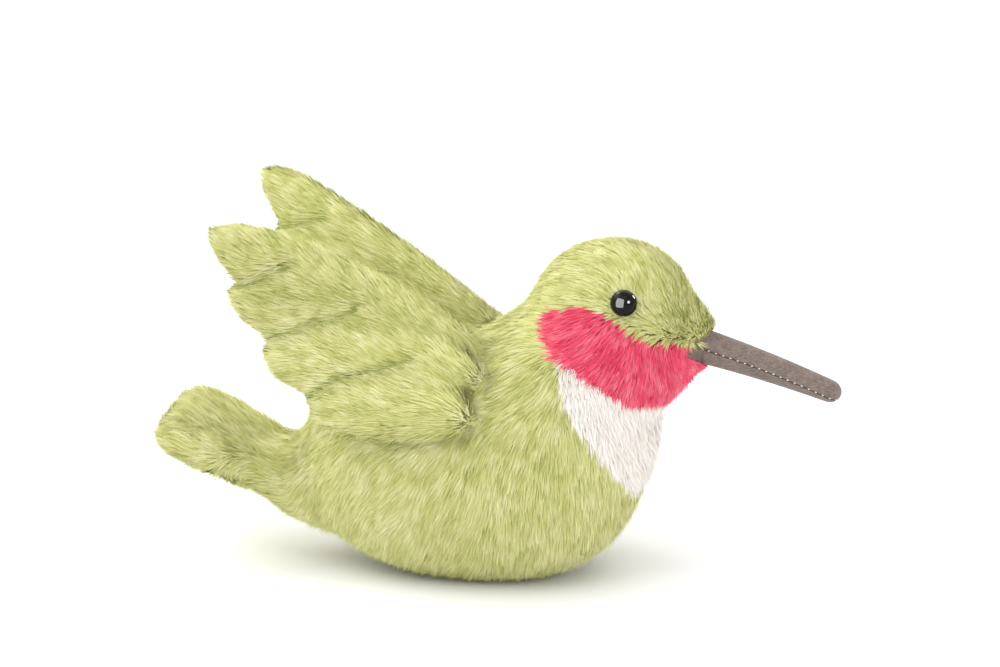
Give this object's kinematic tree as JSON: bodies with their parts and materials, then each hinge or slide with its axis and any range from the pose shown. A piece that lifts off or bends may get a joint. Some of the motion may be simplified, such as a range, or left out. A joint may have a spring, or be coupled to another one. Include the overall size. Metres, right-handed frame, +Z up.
{
  "type": "plush hummingbird toy",
  "caption": "Stuffed plush hummingbird that sits on its belly, with raised padded wings, an upturned tail and a long soft felted bill.",
  "frame": {"origin": "under the middle of the toy's box, on the surface that it sits on", "axes": "+X towards the tip of the bill, +Y to the bird's left, +Z up"},
  "size_m": [0.1804, 0.075, 0.0992],
  "materials": {
    "green_plush": "long soft pile",
    "pink_plush": "soft pile",
    "white_plush": "short soft pile",
    "grey_suede": "brushed suede cloth",
    "black_gloss": "polished"
  },
  "bodies": {
    "root": {"crown": "green_plush", "throat": "pink_plush", "bib": "white_plush", "trunk": "green_plush", "tail": "green_plush", "wing_left": "green_plush", "wing_right": "green_plush", "bill_upper": "grey_suede", "bill_lower": "grey_suede", "eye_left": "black_gloss", "eye_right": "black_gloss"}
  },
  "joints": []
}
